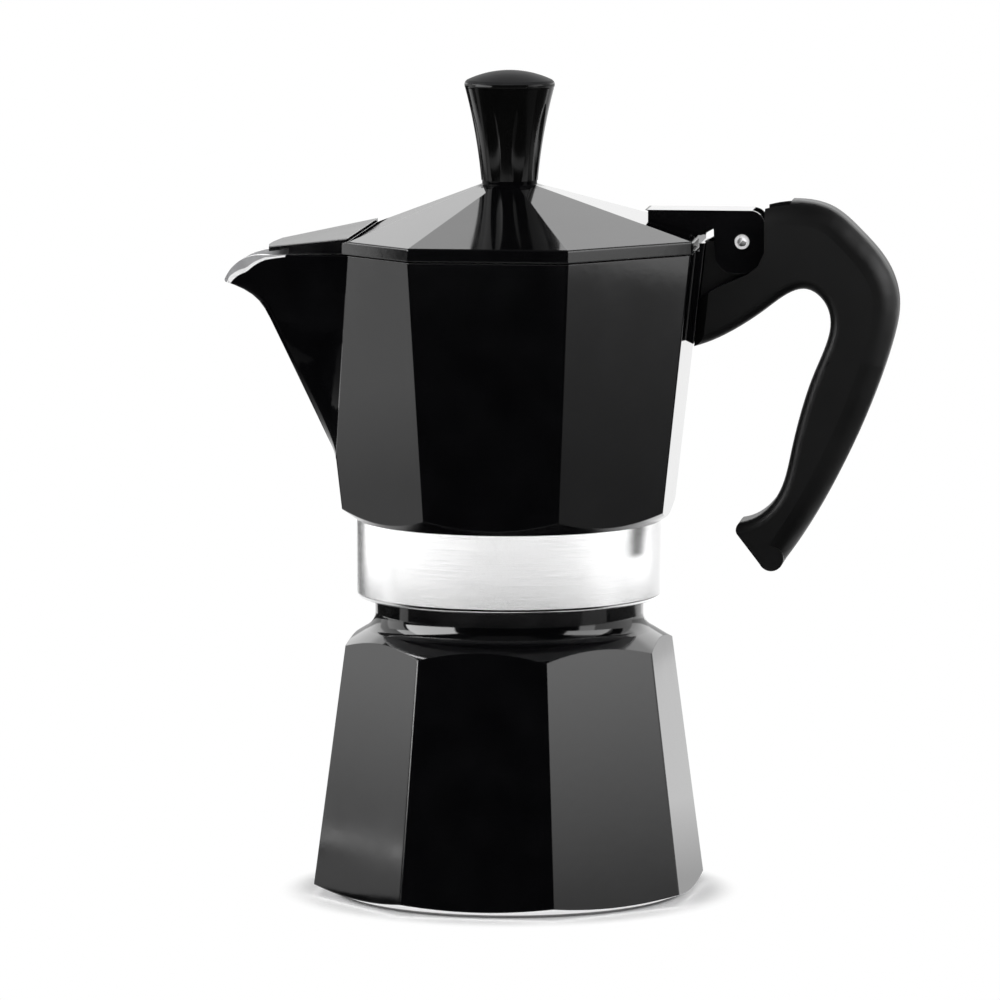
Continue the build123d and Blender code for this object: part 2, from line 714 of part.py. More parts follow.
with BuildPart() as handle:
    with BuildSketch(Plane.XZ):
        with BuildLine():
            finger = Spline(
                (handle_front(145.4), 145.4), (60.6, 150.4), (68.4, 155.7), (73.4, 159.3), (78.3, 160.7),
                (83.0, 157.6), (84.8, 152.0), (83.8, 146.7), (80.6, 138.8), (77.1, 128.3), (74.6, 118.0),
                (71.4, 107.1), (67.3, 102.0), (61.6, 99.4),
            )
            heel = ThreePointArc((61.6, 99.4), (60.4, 98.1), (60.8, 96.0))
            toe = Line((60.8, 96.0), (66.6, 88.4))
            tip = ThreePointArc((66.6, 88.4), (69.6, 86.6), (72.6, 88.8))
            back = Spline(
                (72.6, 88.8), (81.4, 102.0), (87.1, 112.6), (92.1, 123.2), (96.4, 133.8), (100.7, 147.0),
                (102.2, 157.4), (99.7, 166.1), (91.9, 175.7), (84.4, 181.7), (76.2, 183.5),
                (EAR_REAR + SEAT_GAP, 182.5),
            )
            Polyline(
                back @ 1,
                (EAR_REAR + SEAT_GAP, 170.2),
                (65.9, 166.6),
                (63.4, 164.6),
                (55.2, 161.0),
                (handle_front(158.0), 158.0),
                finger @ 0,
            )
        make_face()
    extrude(amount=HANDLE_HALF, both=True)
    with BuildSketch(Plane.YZ):
        with BuildLine():
            Polyline(
                (HANDLE_TIP_HALF, 80),
                (HANDLE_HALF, HANDLE_TAPER_Z),
                (HANDLE_HALF, 190),
                (-HANDLE_HALF, 190),
                (-HANDLE_HALF, HANDLE_TAPER_Z),
                (-HANDLE_TIP_HALF, 80),
                close=True,
            )
        make_face()
    extrude(amount=130, mode=Mode.INTERSECT)

    fillet(long_curves(handle, 60, 80), HANDLE_INNER_ROUND)
    fillet(long_curves(handle, 86, 120), HANDLE_OUTER_ROUND)
    # Bevelled front corners
    for side in (-1, 1):
        with BuildSketch(front_edge.offset(-10)):
            Polygon(
                (-2, side * (HANDLE_HALF - HANDLE_FRONT_BEVEL - 2)), (-2, side * (HANDLE_HALF + 2)),
                (HANDLE_FRONT_BEVEL + 2, side * (HANDLE_HALF + 2)), align=None,
            )
        extrude(amount=30, mode=Mode.SUBTRACT)
    # Pocket in which the lid's shelf and ears swing
    with BuildSketch(Plane.XZ):
        with Locations((PIN_X, PIN_Z)):
            Circle(POCKET_RADIUS)
        with BuildLine():
            Polyline((PIN_X, PIN_Z), pocket_low, pocket_high, (PIN_X, pocket_high[1]), close=True)
        make_face()
    extrude(amount=POCKET_HALF, both=True, mode=Mode.SUBTRACT)
    # Narrow head round the pin
    with BuildSketch(Plane.XZ):
        with BuildLine():
            Polyline(
                (handle_front(156.0), 156.0),
                (handle_front(BOSS_TOP + 0.3), BOSS_TOP + 0.3),
                (57.0, BOSS_TOP + 0.3),
                (PIN_X, PIN_Z),
                (65.2, 167.7),
                (66.5, 164.2),
                (66.5, 157.0),
                close=True,
            )
        make_face()
        with Locations((PIN_X, PIN_Z)):
            Circle(HEAD_RADIUS)
    extrude(amount=FIN_HALF, both=True)
    # Slot for the collector's tongue, and the pin hole
    with BuildSketch(Plane.XZ):
        with BuildLine():
            Polyline(
                (boss_x(151.5) - 1, 151.5),
                (boss_x(151.5) - 1, 185.0),
                (58.8, 185.0),
                (65.6, 170.0),
                (60.4, 157.5),
                close=True,
            )
        make_face()
        with Locations((PIN_X, PIN_Z)):
            Circle(5.0)
    extrude(amount=TONGUE_HALF + 0.2, both=True, mode=Mode.SUBTRACT)
    with BuildSketch(Plane.XZ):
        with Locations((PIN_X, PIN_Z)):
            Circle(PIN_RADIUS + PIN_RUN_GAP)
    extrude(amount=HANDLE_HALF, both=True, mode=Mode.SUBTRACT)

handle.part.label = "handle"
export_step(handle.part, "parts/handle.step")

# Hinge pin: a tube through ears, handle fins and tongue
with BuildPart() as hinge_pin:
    with BuildSketch(Plane.XZ):
        with Locations((PIN_X, PIN_Z)):
            Circle(PIN_RADIUS)
            Circle(PIN_BORE, mode=Mode.SUBTRACT)
    extrude(amount=PIN_HALF, both=True)

hinge_pin.part.label = "hinge_pin"
export_step(hinge_pin.part, "parts/hinge_pin.step")

# Lid: an eight-sided shell whose spout side is steeper and runs out into a beak
lid_bottom = BODY_RIM_Z + LID_GAP
lid_slope = (LID_CROWN_Z - LID_RIM_Z) / (LID_RADIUS - LID_CROWN_RADIUS)
lid_drop = LID_WALL / math.cos(math.atan(lid_slope / FLAT_RATIO))
lid_inner_radius = LID_RADIUS - LID_WALL / FLAT_RATIO
lid_inner_rim = LID_RIM_Z + lid_slope * (LID_RADIUS - lid_inner_radius) - lid_drop
spout_side_slope = (LID_CROWN_Z - LID_RIM_Z) / (-LID_BOSS_RADIUS - SPOUT_RIM_X)
shell_end_x = SPOUT_RIM_X - 1.8
beak_base = lid_bottom - 10


def spout_side_cut(drop):
    """Outline of what the steeper spout side takes off the eight-sided crown, in X and Z."""
    end_z = LID_RIM_Z + spout_side_slope * (shell_end_x - SPOUT_RIM_X) - drop
    top_z = LID_CROWN_Z - drop
    return [(-LID_BOSS_RADIUS, top_z), (shell_end_x, end_z), (shell_end_x, beak_base),
            (-CUT_REACH, beak_base), (-CUT_REACH, KNOB_TOP), (-LID_BOSS_RADIUS, KNOB_TOP)]


with BuildPart() as lid_outside:
    with BuildSketch(Plane.XY.offset(lid_bottom)):
        RegularPolygon(LID_RADIUS, SIDES, rotation=VERTEX_ANGLE)
    extrude(amount=LID_RIM_Z - lid_bottom)
    with BuildSketch(Plane.XY.offset(LID_RIM_Z)):
        RegularPolygon(LID_RADIUS, SIDES, rotation=VERTEX_ANGLE)
    with BuildSketch(Plane.XY.offset(LID_CROWN_Z)):
        RegularPolygon(LID_CROWN_RADIUS, SIDES, rotation=VERTEX_ANGLE)
    loft(ruled=True)
    ridges = lid_outside.edges().filter_by(lambda e: lid_bottom + 0.1 < e.center().Z < LID_CROWN_Z - 0.1)
    fillet(ridges, LID_EDGE_ROUND)
    with BuildSketch(Plane.XZ):
        with BuildLine():
            Polyline(*spout_side_cut(0.0), close=True)
        make_face()
    extrude(amount=CUT_REACH, both=True, mode=Mode.SUBTRACT)

with BuildPart() as lid_inside:
    with BuildSketch(Plane.XY.offset(lid_bottom - 1)):
        RegularPolygon(lid_inner_radius, SIDES, rotation=VERTEX_ANGLE)
    extrude(amount=lid_inner_rim - lid_bottom + 1)
    with BuildSketch(Plane.XY.offset(lid_inner_rim)):
        RegularPolygon(lid_inner_radius, SIDES, rotation=VERTEX_ANGLE)
    with BuildSketch(Plane.XY.offset(LID_CROWN_Z - lid_drop)):
        RegularPolygon(LID_CROWN_RADIUS, SIDES, rotation=VERTEX_ANGLE)
    loft(ruled=True)
    with BuildSketch(Plane.XZ):
        with BuildLine():
            Polyline(
                (shell_end_x - 0.01, beak_base),
                *spout_side_cut(lid_drop)[1::-1],
                (-LID_BOSS_RADIUS, KNOB_TOP),
                (-CUT_REACH, KNOB_TOP),
                (-CUT_REACH, beak_base),
                close=True,
            )
        make_face()
    extrude(amount=CUT_REACH, both=True, mode=Mode.SUBTRACT)

# Beak: a sloping roof over the spout on two side walls that stop short of the lip
beak_slope = (BEAK_REAR_Z - BEAK_FRONT_Z) / (BEAK_REAR_X - BEAK_FRONT_X)
beak_rear_half = crease_half(BODY_RIM_Z) - 0.8
beak_wall_top = BEAK_REAR_Z - beak_slope * (BEAK_REAR_X - BEAK_WALL_END_X)
rim_fall = (BODY_RIM_Z - RIM_RUN_Z) / (SPOUT_RIM_X - RIM_RUN_X)
beak_wall_low = lid_bottom - rim_fall * (SPOUT_RIM_X - BEAK_WALL_END_X)
beak_roof = BEAK_WALL - 0.2
beak_side = BEAK_WALL * 1.3
beak_taper = (beak_rear_half - BEAK_FRONT_HALF) / (BEAK_REAR_X - BEAK_FRONT_X)
beak_corner_half = BEAK_FRONT_HALF + beak_taper * BEAK_NOSE
hollow_rear_x = BEAK_REAR_X + 3.0
hollow_rear_half = beak_rear_half + 3.0 * beak_taper - beak_side
hollow_front_half = BEAK_FRONT_HALF - beak_side
hollow_step_z = lid_bottom + 0.6
hollow_roof_z = BEAK_REAR_Z - beak_slope * (BEAK_REAR_X - BEAK_JOIN_X) - beak_roof

with BuildPart() as beak:
    with BuildSketch(Plane.XY.offset(beak_base)):
        Polygon(
            (BEAK_REAR_X, beak_rear_half), (BEAK_REAR_X, -beak_rear_half),
            (BEAK_FRONT_X + BEAK_NOSE, -beak_corner_half), (BEAK_FRONT_X, -BEAK_NOSE_HALF),
            (BEAK_FRONT_X, BEAK_NOSE_HALF), (BEAK_FRONT_X + BEAK_NOSE, beak_corner_half), align=None,
        )
    extrude(amount=BEAK_REAR_Z - beak_base + 5)
    with BuildSketch(Plane.XZ):
        Polygon(
            (BEAK_REAR_X, BEAK_REAR_Z), (BEAK_FRONT_X, BEAK_FRONT_Z),
            (BEAK_FRONT_X, BEAK_FRONT_Z - beak_roof), (BEAK_WALL_END_X, beak_wall_top - beak_roof),
            (BEAK_WALL_END_X, beak_wall_low), (BEAK_REAR_X, lid_bottom), align=None,
        )
    extrude(amount=CUT_REACH, both=True, mode=Mode.INTERSECT)

with BuildPart() as beak_hollow:
    with BuildSketch(Plane.XY.offset(beak_base)):
        Polygon(
            (hollow_rear_x, hollow_rear_half), (hollow_rear_x, -hollow_rear_half),
            (BEAK_FRONT_X, -hollow_front_half), (BEAK_FRONT_X, hollow_front_half), align=None,
        )
    extrude(amount=BEAK_REAR_Z - beak_base + 5)
    with BuildSketch(Plane.XZ):
        Polygon(
            (hollow_rear_x, hollow_step_z), (BEAK_JOIN_X, hollow_step_z), (BEAK_JOIN_X, hollow_roof_z),
            (BEAK_FRONT_X, BEAK_FRONT_Z - beak_roof), (BEAK_FRONT_X, beak_base), (hollow_rear_x, beak_base),
            align=None,
        )
    extrude(amount=CUT_REACH, both=True, mode=Mode.INTERSECT)

# The gussets of the hinge shelf sink a little into the lid's rear face
gusset_low = LID_RIM_Z + lid_slope * (LID_RADIUS - GUSSET_FRONT / FLAT_RATIO) - LID_WALL / 3

with BuildPart() as lid:
    add(lid_outside.part)
    add(beak.part)
    add(lid_inside.part, mode=Mode.SUBTRACT)
    add(beak_hollow.part, mode=Mode.SUBTRACT)
    # Boss under the knob
    with BuildSketch(Plane.XY.offset(LID_CROWN_Z - lid_drop)):
        Circle(LID_BOSS_RADIUS - 1.0)
    with BuildSketch(Plane.XY.offset(LID_CROWN_Z - 1.2)):
        Circle(LID_BOSS_RADIUS)
    with BuildSketch(Plane.XY.offset(LID_BOSS_Z)):
        Circle(LID_BOSS_RADIUS)
    loft(ruled=True)
    with BuildSketch(Plane.XY.offset(LID_CROWN_Z - 5)):
        Circle(SCREW_RADIUS + SEAT_GAP)
    extrude(amount=10, mode=Mode.SUBTRACT)
    # Hinge shelf behind the crown
    with BuildSketch(Plane.XZ):
        Polygon(
            (36.2, SHELF_TOP), (SHELF_REAR, SHELF_TOP), (SHELF_REAR, SHELF_TOP - SHELF_THICK),
            (41.6, SHELF_TOP - SHELF_THICK), align=None,
        )
    extrude(amount=EAR_OUT, both=True)
    # Web under the shelf, between the gussets
    with BuildSketch(Plane.XZ):
        Polygon(
            (50.6, SHELF_TOP - 0.6), (53.2, SHELF_TOP - 0.6), (52.2, 174.6), (50.6, 174.6), align=None,
        )
    extrude(amount=EAR_OUT, both=True)
    # Gussets and ears on both sides of the shelf
    for side in (Plane.XZ.offset(EAR_IN), Plane.XZ.offset(-EAR_OUT)):
        with BuildSketch(side):
            Polygon(
                (GUSSET_FRONT, SHELF_TOP - 0.2), (EAR_FRONT - 0.2, SHELF_TOP - 0.6),
                (EAR_FRONT - 0.2, 176.2), (51.0, LID_RIM_Z + 0.5), (47.6, LID_RIM_Z + 0.5),
                (GUSSET_FRONT, gusset_low), align=None,
            )
        extrude(amount=EAR_OUT - EAR_IN)
        with BuildSketch(side) as ear:
            with BuildLine():
                front_top = Line((EAR_FRONT, 169.5), (EAR_FRONT - 0.6, SHELF_TOP))
                top = Line(front_top @ 1, (EAR_REAR - 3.5, SHELF_TOP))
                high = RadiusArc(top @ 1, (EAR_REAR, SHELF_TOP - 3.5), 3.5)
                rear = Line(high @ 1, (EAR_REAR, EAR_BOTTOM + 5.0))
                low = RadiusArc(rear @ 1, (EAR_REAR - 5.0, EAR_BOTTOM), 5.0)
                foot = Line(low @ 1, (EAR_FRONT + 5.1, EAR_BOTTOM))
                RadiusArc(foot @ 1, front_top @ 0, 5.1)
            make_face()
            with Locations((PIN_X, PIN_Z)):
                Circle(PIN_RADIUS + PIN_RUN_GAP, mode=Mode.SUBTRACT)
        extrude(amount=EAR_OUT - EAR_IN)

lid.part.label = "lid"
export_step(lid.part, "parts/lid.step")

# Knob: a flaring domed cone with shallow leaf-shaped flutes, screwed on up to a share of its side
knob_rim_z = KNOB_TOP - KNOB_DOME_RISE
knob_rise = knob_rim_z - LID_BOSS_Z
flute_z = LID_BOSS_Z + KNOB_FLUTE_SHARE * knob_rise
screw_tip_z = LID_BOSS_Z + SCREW_REACH_SHARE * knob_rise
flare = (KNOB_RIM_RADIUS - KNOB_FOOT_RADIUS) / knob_rise
flute_lean = math.atan(flare)
flute_face = KNOB_FOOT_RADIUS + flare * (flute_z - LID_BOSS_Z)
flute_reach = KNOB_FLUTE_RADIUS - KNOB_FLUTE_DEPTH
flute_ring = flute_face + flute_reach * math.cos(flute_lean)
flute_height = flute_z - flute_reach * math.sin(flute_lean)

with BuildPart() as knob:
    with BuildSketch(Plane.XZ):
        with BuildLine():
            knob_foot = Line((0, LID_BOSS_Z), (KNOB_FOOT_RADIUS, LID_BOSS_Z))
            knob_side = ThreePointArc(
                knob_foot @ 1, (flute_face - 0.5, flute_z), (KNOB_RIM_RADIUS - 0.15, knob_rim_z - 1.0)
            )
            rim_top = (KNOB_RIM_RADIUS - 0.7, knob_rim_z + 1.0)
            knob_rim = Spline(knob_side @ 1, (KNOB_RIM_RADIUS, knob_rim_z), rim_top)
            knob_dome = dome_arc(rim_top[0], rim_top[1], KNOB_TOP)
            Line(knob_dome @ 1, knob_foot @ 0)
        make_face()
    revolve(axis=Axis.Z)
    with BuildSketch(Plane.XY.offset(LID_BOSS_Z)):
        Circle(SCREW_RADIUS + PRESS_GAP)
    extrude(amount=screw_tip_z - LID_BOSS_Z + 1.0, mode=Mode.SUBTRACT)
    with Locations((0, 0, flute_height)):
        with PolarLocations(flute_ring, KNOB_FLUTES, start_angle=180 / KNOB_FLUTES):
            Torus(
                KNOB_FLUTE_RADIUS - KNOB_FLUTE_ROUND, KNOB_FLUTE_ROUND, rotation=(90, 0, 0),
                mode=Mode.SUBTRACT,
            )

knob.part.label = "knob"
export_step(knob.part, "parts/knob.step")

# Screw and washer that hold the knob from inside the lid
washer_top = LID_CROWN_Z - lid_drop
washer_low = washer_top - 1.0

with BuildPart() as knob_washer:
    with BuildSketch(Plane.XY.offset(washer_low)):
        Circle(5.2)
        Circle(SCREW_RADIUS + SEAT_GAP, mode=Mode.SUBTRACT)
    extrude(amount=washer_top - washer_low)

knob_washer.part.label = "knob_washer"
export_step(knob_washer.part, "parts/knob_washer.step")

with BuildPart() as knob_screw:
    with BuildSketch(Plane.XY.offset(washer_low - 2.4)):
        Circle(SCREW_HEAD_RADIUS)
    extrude(amount=2.4)
    fillet(knob_screw.edges().sort_by(Axis.Z)[0], 1.0)
    with BuildSketch(Plane.XY.offset(washer_low)):
        Circle(SCREW_RADIUS)
    extrude(amount=screw_tip_z - washer_low)
    with BuildSketch(Plane.XY.offset(washer_low - 2.4)):
        Rectangle(SCREW_HEAD_RADIUS * 2, 1.0)
    extrude(amount=1.1, mode=Mode.SUBTRACT)

knob_screw.part.label = "knob_screw"
export_step(knob_screw.part, "parts/knob_screw.step")
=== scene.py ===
import math

import bpy
import bmesh
from mathutils import Matrix, Vector


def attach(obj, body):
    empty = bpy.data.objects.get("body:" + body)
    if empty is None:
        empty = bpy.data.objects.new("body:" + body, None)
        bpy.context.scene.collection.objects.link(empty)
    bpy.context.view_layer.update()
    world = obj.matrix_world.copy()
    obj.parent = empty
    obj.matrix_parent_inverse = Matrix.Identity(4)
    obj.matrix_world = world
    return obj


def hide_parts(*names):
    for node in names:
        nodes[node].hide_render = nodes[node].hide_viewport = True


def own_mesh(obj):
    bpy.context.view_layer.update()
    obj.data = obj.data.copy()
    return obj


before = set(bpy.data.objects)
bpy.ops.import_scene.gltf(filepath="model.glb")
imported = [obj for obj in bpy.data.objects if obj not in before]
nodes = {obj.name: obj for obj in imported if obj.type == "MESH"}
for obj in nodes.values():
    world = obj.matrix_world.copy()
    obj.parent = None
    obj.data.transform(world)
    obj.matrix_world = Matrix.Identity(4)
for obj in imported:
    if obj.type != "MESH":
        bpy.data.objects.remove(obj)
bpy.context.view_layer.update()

MM = 0.001
WHITE = (1, 1, 1, 1)

# Heights on the boiler and the collector
# Heights between which the painted contact shadow at the foot fades out upwards
CONTACT_SHADE_LOW = 0.55 * MM
CONTACT_SHADE_HIGH = 0.95 * MM
FOOT_BEVEL = 3.5 * MM
BOILER_FLOOR = 12.0 * MM
BOILER_UNDERSIDE = 17.0 * MM
COLLAR_LOW = 77.5 * MM
ENAMEL_STOP = 79.5 * MM
ENAMEL_FADE = 0.1 * MM
NECK_END = 86.8 * MM
COLLAR_HIGH = 98.8 * MM

# Inside of the collector: heights, and distances from the pot's axis
FLOOR_HIGH = 99.4 * MM
WALL_HIGH = 170.8 * MM
COLUMN_REACH = 20.0 * MM
WALL_REACH = 52.0 * MM
ON_AXIS = 1e-6

# Spout: where it starts on its face, the crease between face and side wall, and the curl of the lip
SPOUT_START_X = -36.0 * MM
SPOUT_HALF_WIDTH = 33.0 * MM
SPOUT_FOOT = 105.0 * MM
PROW_HALF_WIDTH = 3.0 * MM
SPOUT_KNEE_X = -43.6 * MM
SPOUT_KNEE_Z = 116.1 * MM
SPOUT_CREASE_LEAN = 0.0959
LIP_CENTRE_X = -63.54 * MM
LIP_CENTRE_Z = 155.23 * MM
LIP_RADIUS = 13.2 * MM
LIP_LOW = 159.5 * MM
RIM_HIGH = 170.6 * MM
LIP_CURL_X = -66.0 * MM

# Runs in millimetres, each from one place with its value to another
# Over the height: the width in which the enamel turns into its painted-shade copy at the crease
CREASE_BLEND = ((110.0, 3.0), (122.0, 0.25))
# Along X: the height of the spout's rim
RIM_HEIGHT = ((-64.5, 168.4), (-38.4, 170.3))
# Along X: how deep the lip's band of painted highlight and painted shade lies under the rim, what comes
# off that depth, and half its width
BAND_RISE = ((-74.0, 1.4), (-69.3, 2.85))
BAND_FALL = ((-68.5, 2.95), (-63.0, 0.95))
BAND_THIN = ((-63.0, 0.0), (-57.0, 0.75))
BAND_END = ((-57.0, 0.0), (-56.0, 2.0))
BAND_HALF = ((-67.0, 0.48), (-60.0, 0.22))
BAND_LIMIT_X = -50.0 * MM
# Soft edges of the lip's painted highlight band and of the painted shade next to the rim
BAND_SOFT = 0.06 * MM
LIP_SHADE_SOFT = 0.1 * MM

# Lid with its beak and the step behind it, knob and hinge pin
BEAK_END_X = (-57.0 * MM, -55.0 * MM)
STEP_X = (-36.2 * MM, -35.4 * MM)
HINGE_SHELF_X = 47.5 * MM
LID_CROWN = 187.0 * MM
LID_BOSS_FOOT = 184.0 * MM
LID_BOSS_RADIUS = 8.6 * MM
KNOB_DOME = 213.0 * MM
PIN_X = 61.6 * MM
PIN_Z = 172.8 * MM
PIN_BORE = 1.5 * MM

# Gloss of the enamel: full on the faces, low where its reflection is taken away as painted shade, on the
# knob's boss, the spout's walls and the step behind the beak
FULL_GLOSS = 0.5
BOSS_SHADE_GLOSS = 0.03
SPOUT_SHADE_GLOSS = 0.003
STEP_SHADE_GLOSS = 0.0
COAT_IOR = 1.5
COAT_EDGE = 0.35 * MM

# Part of its range in which a noise has nearly all its values, and the depth of fine grain
NOISE_LOW = 0.3
NOISE_HIGH = 0.7
GRAIN_DEPTH = 0.1 * MM


# Node helpers
class Tree:
    """Builds the nodes of a material or of the world with short calls."""

    def __init__(self, owner, output="ShaderNodeOutputMaterial"):
        owner.use_nodes = True
        self.owner = owner
        self.tree = owner.node_tree
        self.tree.nodes.clear()
        self.output = self.tree.nodes.new(output)

    def node(self, kind, inputs=None, **settings):
        made = self.tree.nodes.new(kind)
        for key, value in settings.items():
            setattr(made, key, value)
        for key, value in (inputs or {}).items():
            if isinstance(value, bpy.types.NodeSocket):
                self.tree.links.new(value, made.inputs[key])
            else:
                made.inputs[key].default_value = value
        return made

    def math(self, operation, a, b=0.0, clamp=False):
        made = self.node("ShaderNodeMath", {0: a, 1: b}, operation=operation, use_clamp=clamp)
        return made.outputs[0]

    def own_place(self):
        """Place on the piece."""
        return self.node("ShaderNodeTexCoord").outputs["Object"]

    def studio_place(self):
        """Place in the studio."""
        return self.node("ShaderNodeNewGeometry").outputs["Position"]

    def split(self, place):
        """X, Y and Z of a place."""
        return self.node("ShaderNodeSeparateXYZ", {0: place}).outputs

    def noise(self, scale, detail=3.0, rough=0.5, place=None):
        if place is None:
            place = self.own_place()
        inputs = {"Vector": place, "Scale": scale, "Detail": detail, "Roughness": rough}
        return self.node("ShaderNodeTexNoise", inputs).outputs["Fac"]

    def ramp(self, noise, low, high):
        """Colour that runs from low to high with a noise."""
        made = self.node("ShaderNodeValToRGB", {"Fac": noise})
        ends = zip(made.color_ramp.elements, (NOISE_LOW, NOISE_HIGH), (low, high))
        for element, position, colour in ends:
            element.position = position
            element.color = (*colour, 1)
        return made.outputs["Color"]

    def span(self, value, low, high, from_low=NOISE_LOW, from_high=NOISE_HIGH, **settings):
        """Number that runs from low to high while the value runs over its range."""
        return self.node("ShaderNodeMapRange", {
            "Value": value, "From Min": from_low, "From Max": from_high, "To Min": low, "To Max": high,
        }, **settings).outputs["Result"]

    def run(self, place, points):
        """Number that runs between two points, each a place and a value in millimetres."""
        (start, first), (stop, last) = points
        return self.span(place, first * MM, last * MM, start * MM, stop * MM)

    def bump(self, height, strength, normal=None):
        inputs = {"Height": height, "Strength": strength, "Distance": GRAIN_DEPTH}
        if normal is not None:
            inputs["Normal"] = normal
        return self.node("ShaderNodeBump", inputs).outputs["Normal"]

    def surface(self, inputs):
        return self.node("ShaderNodeBsdfPrincipled", inputs).outputs["BSDF"]

    def mix(self, share, first, second):
        """Surface or light that runs from the first to the second with the share."""
        return self.node("ShaderNodeMixShader", {0: share, 1: first, 2: second}).outputs[0]

    def finish(self, shader):
        self.tree.links.new(shader, self.output.inputs["Surface"])
        return self.owner


def material_tree(name):
    return Tree(bpy.data.materials.new(name))


# Finishes
def enamel_shader(t, gloss=FULL_GLOSS):
    """Gloss black enamel over cast metal, its edges rounded by the coat."""
    body = t.noise(90.0, detail=4.0)
    peel = t.noise(420.0, detail=2.0)
    edge = t.node("ShaderNodeBevel", {"Radius": COAT_EDGE}, samples=4).outputs["Normal"]
    return t.surface({
        "Base Color": t.ramp(body, (0.0016, 0.0016, 0.0019), (0.0028, 0.0028, 0.0032)),
        "Roughness": t.span(body, 0.055, 0.085),
        "IOR": COAT_IOR,
        "Specular IOR Level": gloss,
        "Normal": t.bump(peel, strength=0.03, normal=edge),
    })


def bare_shader(t, rough=(0.28, 0.40), dull=(0.70, 0.70, 0.715), pale=(0.80, 0.80, 0.81), metal=0.75):
    """Bare cast aluminium, with some of a matt surface's look where it is not polished."""
    cloud = t.noise(160.0, detail=5.0)
    grain = t.noise(900.0, detail=2.0)
    return t.surface({
        "Base Color": t.ramp(cloud, dull, pale),
        "Metallic": metal,
        "Roughness": t.span(cloud, *rough),
        "Normal": t.bump(grain, strength=0.12),
    })


def make_enamel(name, gloss=FULL_GLOSS):
    t = material_tree(name)
    return t.finish(enamel_shader(t, gloss))


def make_bare(name, **settings):
    t = material_tree(name)
    return t.finish(bare_shader(t, **settings))


def make_boiler_enamel():
    """Enamel that stops under the collar, where the neck is bare for its thread."""
    t = material_tree("boiler_enamel")
    z = t.split(t.own_place())["Z"]
    bare = t.span(z, 0.0, 1.0, ENAMEL_STOP - ENAMEL_FADE, ENAMEL_STOP + ENAMEL_FADE)
    return t.finish(t.mix(bare, enamel_shader(t), bare_shader(t)))


def depth_under_rim(t, x, z):
    """Depth under the spout's rim, which runs nearly level at first and then curls down to the lip."""
    across = t.math("SUBTRACT", x, LIP_CENTRE_X)
    up = t.math("SUBTRACT", z, LIP_CENTRE_Z)
    squares = t.math("ADD", t.math("MULTIPLY", across, across), t.math("MULTIPLY", up, up))
    under_curl = t.math("SUBTRACT", LIP_RADIUS, t.math("SQRT", squares))
    under_level = t.math("SUBTRACT", t.run(x, RIM_HEIGHT), z)
    curled = t.math("LESS_THAN", x, RIM_HEIGHT[0][0] * MM)
    return t.node("ShaderNodeMix", {0: curled, 2: under_level, 3: under_curl}).outputs[0]


def lip_band(t, x, z):
    """Shares along the lip: the whole band, painted as a highlight, and its part next to the rim, painted
    as shade.
    """
    middle = t.math("MINIMUM", t.run(x, BAND_RISE), t.run(x, BAND_FALL))
    middle = t.math("SUBTRACT", middle, t.run(x, BAND_THIN))
    middle = t.math("SUBTRACT", middle, t.run(x, BAND_END))
    half = t.run(x, BAND_HALF)
    over = t.math("SUBTRACT", middle, depth_under_rim(t, x, z))
    band = t.span(t.math("ADD", over, half), 0.0, 1.0, -BAND_SOFT, BAND_SOFT)
    band = t.math("MULTIPLY", band, t.math("LESS_THAN", x, BAND_LIMIT_X))
    shade_share = t.span(t.math("SUBTRACT", over, half), 0.0, 1.0, -LIP_SHADE_SOFT, LIP_SHADE_SOFT)
    return band, shade_share


def make_collector_enamel():
    """Enamel of the collector, with painted shade on the spout's walls, where the reflection is taken
    away, and along the pouring lip a band of painted highlight with painted shade next to the rim.
    """
    t = material_tree("collector_enamel")
    place = t.split(t.own_place())
    x, z = place["X"], place["Z"]
    lean = t.math("MULTIPLY", t.math("SUBTRACT", z, SPOUT_KNEE_Z), SPOUT_CREASE_LEAN)
    crease = t.math("ADD", lean, SPOUT_KNEE_X)
    wall = t.math("DIVIDE", t.math("SUBTRACT", crease, x), t.run(z, CREASE_BLEND), clamp=True)
    # Painted shade: the spout's walls get a copy of the enamel with its reflection taken away
    coat = t.mix(wall, enamel_shader(t), enamel_shader(t, SPOUT_SHADE_GLOSS))
    # Painted highlight: a near-white band along the lip
    lip_highlight = bare_shader(
        t, rough=(0.38, 0.48), dull=(0.93, 0.93, 0.935), pale=(0.97, 0.97, 0.97), metal=0.1)
    # Painted shade next to the rim: grey standing in for the far wall's shaded inside
    lip_shade = bare_shader(
        t, rough=(0.34, 0.44), dull=(0.30, 0.30, 0.31), pale=(0.40, 0.40, 0.41), metal=0.3)
    band, shade_share = lip_band(t, x, z)
    return t.finish(t.mix(band, coat, t.mix(shade_share, lip_highlight, lip_shade)))


def make_step_enamel():
    """Enamel of the lid's face towards the spout, with painted shade in the narrow step behind the beak,
    where the enamel's reflection is taken away.
    """
    t = material_tree("step_enamel")
    # Painted shade: behind the beak the enamel's reflection is taken away
    step = t.span(t.split(t.own_place())["X"], 1.0, 0.0, *STEP_X)
    return t.finish(t.mix(step, enamel_shader(t), enamel_shader(t, STEP_SHADE_GLOSS)))


